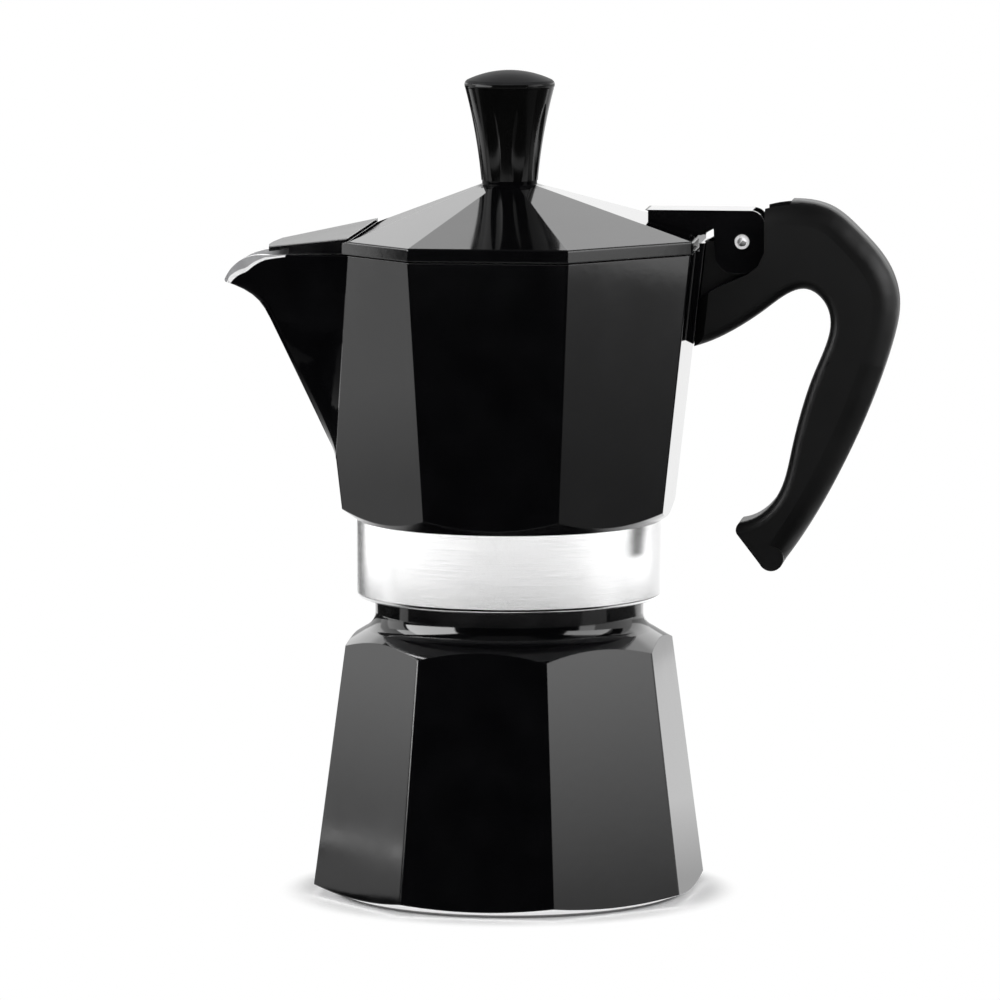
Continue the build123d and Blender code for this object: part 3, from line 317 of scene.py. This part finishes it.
def make_foot():
    """Turned bare metal under the boiler, with painted contact shadow darkening its lowest edge where it
    meets the hob.
    """
    t = material_tree("boiler_foot")
    # Painted contact shadow: the foot turns dark below these heights
    contact_shade = t.span(t.split(t.own_place())["Z"], 1.0, 0.0, CONTACT_SHADE_LOW, CONTACT_SHADE_HIGH)
    foot_metal = bare_shader(
        t, rough=(0.30, 0.42), dull=(0.84, 0.84, 0.85), pale=(0.90, 0.90, 0.905), metal=0.5)
    dark = bare_shader(
        t, rough=(0.50, 0.62), dull=(0.022, 0.022, 0.023), pale=(0.035, 0.035, 0.036), metal=0.0)
    return t.finish(t.mix(contact_shade, foot_metal, dark))


def make_collar():
    """Turned aluminium: bright, with fine lines round the collar."""
    t = material_tree("collar_turned")
    stretch = t.node("ShaderNodeMapping", {"Vector": t.own_place(), "Scale": (40.0, 40.0, 9000.0)})
    lines = t.noise(1.0, detail=2.0, place=stretch.outputs["Vector"])
    cloud = t.noise(60.0)
    return t.finish(t.surface({
        "Base Color": t.ramp(cloud, (0.93, 0.93, 0.935), (0.96, 0.96, 0.96)),
        "Metallic": 1.0,
        "Roughness": t.span(lines, 0.20, 0.25),
        "Anisotropic": 0.75,
        "Tangent": t.node("ShaderNodeTangent", direction_type="RADIAL", axis="Z").outputs[0],
        "Normal": t.bump(lines, strength=0.03),
    }))


def make_plastic(name, rough, dark, pale, grain_strength, gloss):
    t = material_tree(name)
    cloud = t.noise(70.0, detail=4.0)
    grain = t.noise(1500.0, rough=0.6)
    return t.finish(t.surface({
        "Base Color": t.ramp(cloud, dark, pale),
        "Roughness": t.span(cloud, *rough),
        "IOR": COAT_IOR,
        "Specular IOR Level": gloss,
        "Normal": t.bump(grain, strength=grain_strength),
    }))


def make_metal(name, rough, dull, pale):
    t = material_tree(name)
    cloud = t.noise(400.0, detail=4.0)
    return t.finish(t.surface({
        "Base Color": t.ramp(cloud, dull, pale),
        "Metallic": 1.0,
        "Roughness": t.span(cloud, *rough),
    }))


def make_rubber():
    t = material_tree("seal_rubber")
    cloud = t.noise(250.0, detail=4.0)
    return t.finish(t.surface({
        "Base Color": t.ramp(cloud, (0.62, 0.60, 0.55), (0.70, 0.68, 0.63)),
        "Roughness": t.span(cloud, 0.55, 0.68),
        "Normal": t.bump(t.noise(1200.0), strength=0.15),
    }))


lid_enamel = make_enamel("lid_enamel")
collector_enamel = make_collector_enamel()
# Painted shade: the knob's boss gets a copy of the enamel with its reflection taken away
boss_shade_enamel = make_enamel("boss_shade_enamel", BOSS_SHADE_GLOSS)
step_enamel = make_step_enamel()
foot = make_foot()
boiler_enamel = make_boiler_enamel()
# Pale bare metal; on the spout's rim top it is also a painted highlight line
bright = make_bare(
    "bright_rim", rough=(0.30, 0.40), dull=(0.88, 0.88, 0.885), pale=(0.94, 0.94, 0.94), metal=0.4)
satin = make_bare("satin_aluminium", rough=(0.30, 0.42), dull=(0.76, 0.76, 0.775), pale=(0.84, 0.84, 0.85))
cast = make_bare(
    "cast_aluminium", rough=(0.40, 0.52), dull=(0.50, 0.50, 0.515), pale=(0.60, 0.60, 0.61), metal=0.0)
collar = make_collar()
handle_plastic = make_plastic(
    "handle_plastic", rough=(0.40, 0.48), dark=(0.0022, 0.0022, 0.0024), pale=(0.0034, 0.0034, 0.0036),
    grain_strength=0.10, gloss=0.32)
knob_plastic = make_plastic(
    "knob_plastic", rough=(0.10, 0.14), dark=(0.0024, 0.0024, 0.0024), pale=(0.0038, 0.0038, 0.0038),
    grain_strength=0.02, gloss=0.12)
# Lighter, matt copy of the knob's plastic for its top: the lighter colour is painted sheen
dome_plastic_with_sheen = make_plastic(
    "knob_dome", rough=(0.45, 0.55), dark=(0.016, 0.016, 0.017), pale=(0.022, 0.022, 0.023),
    grain_strength=0.05, gloss=0.06)
brass = make_metal("valve_brass", rough=(0.22, 0.32), dull=(0.70, 0.53, 0.27), pale=(0.80, 0.63, 0.36))
steel = make_metal("bright_steel", rough=(0.12, 0.20), dull=(0.74, 0.74, 0.75), pale=(0.86, 0.86, 0.86))
wire = make_metal("spring_wire", rough=(0.22, 0.32), dull=(0.50, 0.50, 0.51), pale=(0.62, 0.62, 0.63))
# Painted shade for the bore of the hinge tube
bore_shade = make_metal(
    "painted_bore_shade", rough=(0.45, 0.55), dull=(0.020, 0.020, 0.021), pale=(0.035, 0.035, 0.036))
rubber = make_rubber()


# Finishes on the frame
def dress(name, base, *areas):
    """Gives a node its finish, and another one to the faces that each area's test picks."""
    mesh = nodes[name].data
    mesh.materials.clear()
    mesh.materials.append(base)
    for material, _ in areas:
        mesh.materials.append(material)
    for polygon in mesh.polygons:
        polygon.material_index = 0
        for index, (_, test) in enumerate(areas, 1):
            if test(polygon.center, polygon.normal):
                polygon.material_index = index


def outward(centre, normal):
    """How far a face looks away from the pot's axis."""
    reach = math.hypot(centre.x, centre.y)
    return (centre.x * normal.x + centre.y * normal.y) / reach if reach > ON_AXIS else 0.0


# Tests of a face by its centre and by the direction it looks in
def boiler_bare(centre, normal):
    """Underside, inside walls, neck's end and floor of the boiler."""
    under = normal.z < -0.5 and centre.z < BOILER_UNDERSIDE and outward(centre, normal) > -0.1
    within = outward(centre, normal) < -0.2 or centre.z > NECK_END
    floor = normal.z > 0.5 and centre.z < BOILER_FLOOR
    return under or within or floor


def boiler_foot(centre, normal):
    """Bevel round the underside."""
    return centre.z < FOOT_BEVEL and normal.z < -0.2 and outward(centre, normal) > 0.1


def collar_face(centre, normal):
    """Turned outside of the collar."""
    return COLLAR_LOW < centre.z < COLLAR_HIGH and outward(centre, normal) > 0.3


def inner_face(centre, normal):
    """Inside walls, floor and underside of the collector, and the channel of the spout."""
    if centre.z < FLOOR_HIGH and not collar_face(centre, normal):
        return outward(centre, normal) < 0.5
    reach = math.hypot(centre.x, centre.y)
    if reach < COLUMN_REACH:
        return True
    if centre.x < SPOUT_START_X and abs(centre.y) < SPOUT_HALF_WIDTH and centre.z > SPOUT_FOOT:
        side = 1 if centre.y > 0 else -1
        across = side * normal.y < -0.05
        ahead = abs(centre.y) < PROW_HALF_WIDTH and normal.x > 0.2
        return (across or ahead) and normal.z > -0.2
    return reach < WALL_REACH and outward(centre, normal) < -0.3 and centre.z < WALL_HIGH


def rim_top(centre, normal):
    """Top of the spout's rim ahead of the beak, down to the lip, where pale bare metal is painted as a
    highlight line.
    """
    rim = LIP_LOW < centre.z < RIM_HIGH and abs(normal.y) < 0.05
    if centre.x < LIP_CURL_X:
        return rim and normal.z > 0.15
    return rim and normal.z > 0.9 and centre.x < BEAK_END_X[0]


def lid_under(centre, normal):
    """Underside of the lid."""
    return normal.z < -0.25 and centre.x < HINGE_SHELF_X and centre.z < LID_CROWN


def beak_end(centre, normal):
    """Cut end of the beak."""
    return normal.x < -0.8 and BEAK_END_X[0] < centre.x < BEAK_END_X[1]


def spout_step(centre, normal):
    """Steeper face of the lid that looks towards the spout."""
    return normal.x < -0.2 and 0.8 < normal.z < 0.97 and abs(normal.y) < 0.02 and centre.x < 0


def lid_boss(centre, normal):
    """Round boss under the knob, where the enamel's reflection is taken away as painted shade."""
    reach = math.hypot(centre.x, centre.y)
    return reach < LID_BOSS_RADIUS and centre.z > LID_BOSS_FOOT and normal.z > -0.3


def knob_dome(centre, normal):
    """Domed top of the knob, where the painted sheen goes."""
    return normal.z > 0.45 and centre.z > KNOB_DOME


def pin_bore(centre, normal):
    """Half of the hinge tube's bore that gets painted shade."""
    reach = math.hypot(centre.x - PIN_X, centre.z - PIN_Z)
    return reach < PIN_BORE and abs(normal.y) < 0.5 and normal.x < 0.75


dress("boiler", boiler_enamel, (satin, boiler_bare), (foot, boiler_foot))
dress("collector", collector_enamel, (cast, inner_face), (collar, collar_face), (bright, rim_top))
dress("lid", lid_enamel, (cast, lid_under), (bright, beak_end),
      (step_enamel, spout_step), (boss_shade_enamel, lid_boss))
dress("knob", knob_plastic, (dome_plastic_with_sheen, knob_dome))
dress("hinge_pin", bright, (bore_shade, pin_bore))
dress("handle", handle_plastic)
for name in ("funnel_cup", "funnel_stem", "funnel_screen", "filter_plate", "riser_column"):
    dress(name, satin)
for name in ("valve_body", "valve_cap", "valve_stem"):
    dress(name, brass)
for name in ("valve_seal", "gasket"):
    dress(name, rubber)
for name in ("knob_washer", "knob_screw"):
    dress(name, steel)


# Wound pieces
def skin(work, rings):
    """Faces between neighbouring rings of points, closed at both ends."""
    count = len(rings[0])
    for first, second in zip(rings, rings[1:]):
        for k in range(count):
            after = (k + 1) % count
            work.faces.new((first[k], second[k], second[after], first[after]))
    work.faces.new(rings[0])
    work.faces.new(list(reversed(rings[-1])))
    bmesh.ops.recalc_face_normals(work, faces=work.faces)


def add_piece(name, work, material):
    """Turns a finished mesh into a piece of the scene."""
    mesh = bpy.data.meshes.new(name)
    work.to_mesh(mesh)
    work.free()
    mesh.materials.append(material)
    made = bpy.data.objects.new(name, mesh)
    bpy.context.collection.objects.link(made)
    return made


# Screw thread of neck and collar: corners of the ridges, as radius and height in millimetres
MALE_RIDGE = [(35.2, -0.85), (36.45, -0.3), (36.45, 0.3), (35.2, 0.85)]
FEMALE_RIDGE = [(37.0, -0.75), (35.85, -0.25), (35.85, 0.25), (37.0, 0.75)]
MALE_LOW = 79.6
FEMALE_LOW = 81.1
MALE_TURNS = 1.9
FEMALE_TURNS = 1.6
THREAD_PITCH = 3.0
THREAD_STEPS_PER_TURN = 48
TAPER_STEPS = 6
LEAST_HEIGHT = 0.05


def make_thread(name, ridge, low_z, turns, body):
    """A ridge wound round the pot's axis, tapering to nothing at both ends."""
    steps = int(turns * THREAD_STEPS_PER_TURN)
    root = ridge[0][0]
    work = bmesh.new()
    rings = []
    for step in range(steps + 1):
        angle = 2 * math.pi * step / THREAD_STEPS_PER_TURN
        climb = THREAD_PITCH * step / THREAD_STEPS_PER_TURN
        size = min(1.0, min(step, steps - step) / TAPER_STEPS)
        ring = []
        for radius, height in ridge:
            r = (root + (radius - root) * size) * MM
            z = (low_z + climb + height * max(size, LEAST_HEIGHT)) * MM
            ring.append(work.verts.new((r * math.cos(angle), r * math.sin(angle), z)))
        rings.append(ring)
    skin(work, rings)
    made = add_piece(name, work, satin)
    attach(made, body)


make_thread("thread_male", MALE_RIDGE, MALE_LOW, MALE_TURNS, "boiler")
make_thread("thread_female", FEMALE_RIDGE, FEMALE_LOW, FEMALE_TURNS, "jug")

# Spring of the safety valve, wound along the valve between the poppet and the cap
VALVE_ORIGIN = Vector((2.79202, 43.17528, 46.0)) * MM
VALVE_AXIS = Vector((0.064027, 0.990096, 0.124938))
VALVE_SIDE = Vector((-0.997916, 0.064532, 0.0))
VALVE_UP = VALVE_AXIS.cross(VALVE_SIDE)
SPRING_LOW = -2.3 * MM
SPRING_LENGTH = 5.8 * MM
SPRING_RADIUS = 2.0 * MM
SPRING_WIRE = 0.25 * MM
SPRING_TURNS = 6
SPRING_STEPS_PER_TURN = 40
SPRING_STEPS = SPRING_TURNS * SPRING_STEPS_PER_TURN
WIRE_SIDES = 10


def make_spring():
    """One unbroken wire wound round the poppet's stem, between the poppet and the cap."""
    rise = SPRING_LENGTH / (2 * math.pi * SPRING_TURNS)
    work = bmesh.new()
    rings = []
    for step in range(SPRING_STEPS + 1):
        angle = 2 * math.pi * SPRING_TURNS * step / SPRING_STEPS
        outwards = math.cos(angle) * VALVE_SIDE + math.sin(angle) * VALVE_UP
        around = math.cos(angle) * VALVE_UP - math.sin(angle) * VALVE_SIDE
        along = (SPRING_RADIUS * around + rise * VALVE_AXIS).normalized()
        across = along.cross(outwards)
        centre = VALVE_ORIGIN + VALVE_AXIS * (SPRING_LOW + rise * angle) + SPRING_RADIUS * outwards
        ring = []
        for side in range(WIRE_SIDES):
            turn = 2 * math.pi * side / WIRE_SIDES
            spoke = math.cos(turn) * outwards + math.sin(turn) * across
            ring.append(work.verts.new(centre + SPRING_WIRE * spoke))
        rings.append(ring)
    skin(work, rings)
    for face in work.faces:
        face.smooth = len(face.verts) == 4
    made = add_piece("valve_spring_coil", work, wire)
    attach(made, "boiler")
    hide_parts("valve_spring")
    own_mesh(made)


make_spring()

# Studio in metres, with light strengths, the lamp's watts and the camera's millimetres
FACES_UP = (0, 0, 1)
FACES_DOWN = (0, 0, -1)
FACES_RIGHT = (1, 0, 0)
FACES_LEFT = (-1, 0, 0)
FACES_FRONT = (0, -1, 0)
FACES_BACK = (0, 1, 0)
FLOOR_SIDE = 12.0
SHADOW_START = 0.0515
SHADOW_END = 0.061
LAYER = 0.3 * MM
RING_STEPS = 60
WHITE_LIGHT = 1.0
FILL_LIGHT = 0.55
LAMP_PLACE = Vector((0.0, -0.9, 1.5))
LAMP_TARGET = Vector((0.0, 0.0, 0.1))
LAMP_SIZE = (1.6, 1.2)
LAMP_POWER = 16.0
CAMERA_PLACE = Vector((0.24912, -2.17405, 0.36876))
CAMERA_TARGET = Vector((-0.00249, -0.00029, 0.10351))
CAMERA_SENSOR = 36.0
CAMERA_LENS = 302.06
CAMERA_RANGE = 20.0


def stage_sheet(name, corners, faces, place, shader_of):
    """A flat piece of the studio, from corners set in a place."""
    mesh = bpy.data.meshes.new(name)
    mesh.from_pydata(corners, [], faces)
    mesh.update()
    made = bpy.data.objects.new(name, mesh)
    made.matrix_world = place
    bpy.context.collection.objects.link(made)
    t = material_tree(name + "_finish")
    mesh.materials.append(t.finish(shader_of(t)))
    return made


def only_mirrored(made):
    """Hides a studio piece from all but reflections."""
    made.visible_camera = False
    made.visible_diffuse = False
    made.visible_shadow = False


def panel(name, centre, size, facing, shader_of):
    """A flat panel of the studio."""
    place = Vector(facing).to_track_quat("Z", "Y").to_matrix().to_4x4()
    place.translation = Vector(centre)
    w, h = size[0] / 2, size[1] / 2
    corners = [(-w, -h, 0), (w, -h, 0), (w, h, 0), (-w, h, 0)]
    return stage_sheet(name, corners, [(0, 1, 2, 3)], place, shader_of)


def card(name, centre, size, facing, shader_of):
    """A panel that only shows in reflections."""
    only_mirrored(panel(name, centre, size, facing, shader_of))


def floor_card(name, x0, x1, y0, y1, layer, shader_of):
    """A level card just over the floor, given by its sides."""
    centre = ((x0 + x1) / 2, (y0 + y1) / 2, layer * LAYER)
    card(name, centre, (x1 - x0, y1 - y0), FACES_UP, shader_of)


def floor_ring(name, low, high, start, stop, layer, shader_of):
    """A level card round the pot, between two distances and two angles in degrees."""
    corners = []
    for step in range(RING_STEPS + 1):
        angle = math.radians(start + (stop - start) * step / RING_STEPS)
        for reach in (low, high):
            corners.append((reach * math.cos(angle), reach * math.sin(angle), 0))
    strips = [(2 * k, 2 * k + 1, 2 * k + 3, 2 * k + 2) for k in range(RING_STEPS)]
    place = Matrix.Translation((0, 0, layer * LAYER))
    only_mirrored(stage_sheet(name, corners, strips, place, shader_of))


def glow(first, last, start, stop, axis="Z"):
    """Light whose strength runs from first to last between two places on an axis."""
    def shader(t):
        strength = t.span(t.split(t.studio_place())[axis], first, last, start, stop)
        return t.node("ShaderNodeEmission", {"Strength": strength}).outputs[0]
    return shader


def even(strength):
    """Light of one strength."""
    return glow(strength, strength, 0.0, 1.0)


def glow_steps(points, peak, top):
    """Light whose strength follows points, each a share of the height and a share of the peak."""
    def shader(t):
        height = t.span(t.split(t.studio_place())["Z"], 0.0, 1.0, 0.0, top)
        made = t.node("ShaderNodeValToRGB", {"Fac": height})
        elements = made.color_ramp.elements
        while len(elements) < len(points):
            elements.new(0.5)
        for element, (share, level) in zip(elements, points):
            element.position = share
            element.color = (level, level, level, 1)
        return t.node("ShaderNodeEmission", {"Color": made.outputs["Color"], "Strength": peak}).outputs[0]
    return shader


def floor_shader(t):
    """White floor that keeps the pot's shadow near it and is plain white further away."""
    colour = t.ramp(t.noise(3.0), (0.93, 0.93, 0.93), (0.94, 0.94, 0.94))
    matte = t.node("ShaderNodeBsdfDiffuse", {"Color": colour}).outputs[0]
    white = t.node("ShaderNodeEmission", {"Color": WHITE, "Strength": WHITE_LIGHT}).outputs[0]
    path = t.node("ShaderNodeLightPath").outputs
    mirrored = t.math("MAXIMUM", path["Is Glossy Ray"], path["Is Transmission Ray"])
    reach = t.node("ShaderNodeVectorMath", {0: t.studio_place()}, operation="LENGTH").outputs["Value"]
    far = t.span(reach, 0.0, 1.0, SHADOW_START, SHADOW_END, interpolation_type="SMOOTHSTEP")
    plain = t.math("MAXIMUM", mirrored, t.math("MULTIPLY", path["Is Camera Ray"], far))
    return t.mix(plain, matte, white)


panel("floor", (0, 0, 0), (FLOOR_SIDE, FLOOR_SIDE), FACES_UP, floor_shader)

# Cards for the reflections: dark all round, with the windows that the faces show
floor_ring("dark_floor", 0.075, 2.50, -203, 22, 2, even(0.0))
floor_card("left_rear_floor", -1.60, -0.30, 0.17, 1.58, 2, even(0.03))
floor_card("right_side_floor", 0.20, 0.58, 0.10, 0.45, 3, even(0.08))
floor_ring("collar_ring", 0.66, 0.95, -221, 46, 4, even(2.3))
floor_card("left_window", -0.95, -0.10, -0.015, 0.095, 5, glow(1.06, 0.70, -0.58, -0.45, "X"))
floor_card("right_window", 0.28, 0.66, -0.20, 0.06, 6, glow(0.26, 0.50, 0.39, 0.62, "X"))
floor_card("right_rear_floor", 0.03, 0.20, -0.01, 1.58, 6, glow(0.85, 1.36, 0.02, 0.20, "Y"))
card("front_flag", (0.0, -2.6, 1.1), (5.0, 2.2), FACES_BACK, even(0.0))
card("left_flag", (-1.05, -1.25, 1.1), (2.74, 2.2), FACES_RIGHT, even(0.0))
card("right_flag", (1.05, -1.50, 1.1), (2.2, 2.2), FACES_LEFT, even(0.0))
card("left_box", (-1.0, 0.33, 0.24), (0.49, 0.48), FACES_RIGHT, glow(0.80, 1.75, 0.0, 0.065))
card("right_box", (1.0, -0.26, 0.20), (0.30, 0.40), FACES_LEFT, glow(0.75, 2.9, 0.04, 0.135))
card("left_strip", (-1.0, -0.57, 0.49), (1.18, 0.74), FACES_RIGHT, even(9.5))
card("left_strip_rear", (-1.0, 0.19, 0.68), (0.34, 0.36), FACES_RIGHT, even(5.0))
card("right_strip", (1.0, -0.20, 0.63), (0.90, 0.46), FACES_LEFT, even(4.6))
BACK_TOP = 1.66
BACK_PEAK = 2.0
BACK_LEVELS = [
    (0.0, 0.29), (0.155, 0.31), (0.193, 0.80), (0.56, 1.0),
    (0.675, 0.74), (0.89, 0.86), (0.96, 0.86), (1.0, 0.1),
]
back_glow = glow_steps(BACK_LEVELS, BACK_PEAK, BACK_TOP)
card("back_box", (0, 1.6, BACK_TOP / 2), (3.2, BACK_TOP), FACES_FRONT, back_glow)
card("left_rear_flag", (-1.06, 0.88, 1.53), (1.54, 1.34), FACES_RIGHT, even(0.08))
card("right_rear_flag", (1.06, 0.62, 1.65), (2.04, 1.10), FACES_LEFT, even(0.08))
card("back_top", (0, 1.6, 1.93), (3.2, 0.54), FACES_FRONT, even(0.10))
card("ceiling_flag", (0, -0.2, 2.2), (4.0, 4.8), FACES_DOWN, even(0.08))


def aim(made, place, target):
    """Sets a lamp or a camera in its place, looking at the target."""
    made.location = place
    made.rotation_euler = (target - place).to_track_quat("-Z", "Y").to_euler()
    bpy.context.collection.objects.link(made)


lamp_data = bpy.data.lights.new("top_lamp", "AREA")
lamp_data.shape = "RECTANGLE"
lamp_data.size, lamp_data.size_y = LAMP_SIZE
lamp_data.energy = LAMP_POWER
lamp = bpy.data.objects.new("top_lamp", lamp_data)
lamp.visible_glossy = False
aim(lamp, LAMP_PLACE, LAMP_TARGET)

# White behind the pot and in what it mirrors, and a weaker even light on its surfaces
world = bpy.data.worlds.new("studio")
bpy.context.scene.world = world
sky = Tree(world, "ShaderNodeOutputWorld")
rays = sky.node("ShaderNodeLightPath").outputs
seen = sky.math("MAXIMUM", rays["Is Camera Ray"], rays["Is Glossy Ray"])
seen = sky.math("MAXIMUM", seen, rays["Is Transmission Ray"])
fill = sky.node("ShaderNodeBackground", {"Color": WHITE, "Strength": FILL_LIGHT}).outputs[0]
white = sky.node("ShaderNodeBackground", {"Color": WHITE, "Strength": WHITE_LIGHT}).outputs[0]
sky.finish(sky.mix(seen, fill, white))

# Camera at the photograph's angle
camera_data = bpy.data.cameras.new("camera")
camera_data.sensor_width = CAMERA_SENSOR
camera_data.lens = CAMERA_LENS
camera_data.clip_end = CAMERA_RANGE
camera = bpy.data.objects.new("camera", camera_data)
aim(camera, CAMERA_PLACE, CAMERA_TARGET)
bpy.context.scene.camera = camera
bpy.context.scene.view_settings.view_transform = "Standard"
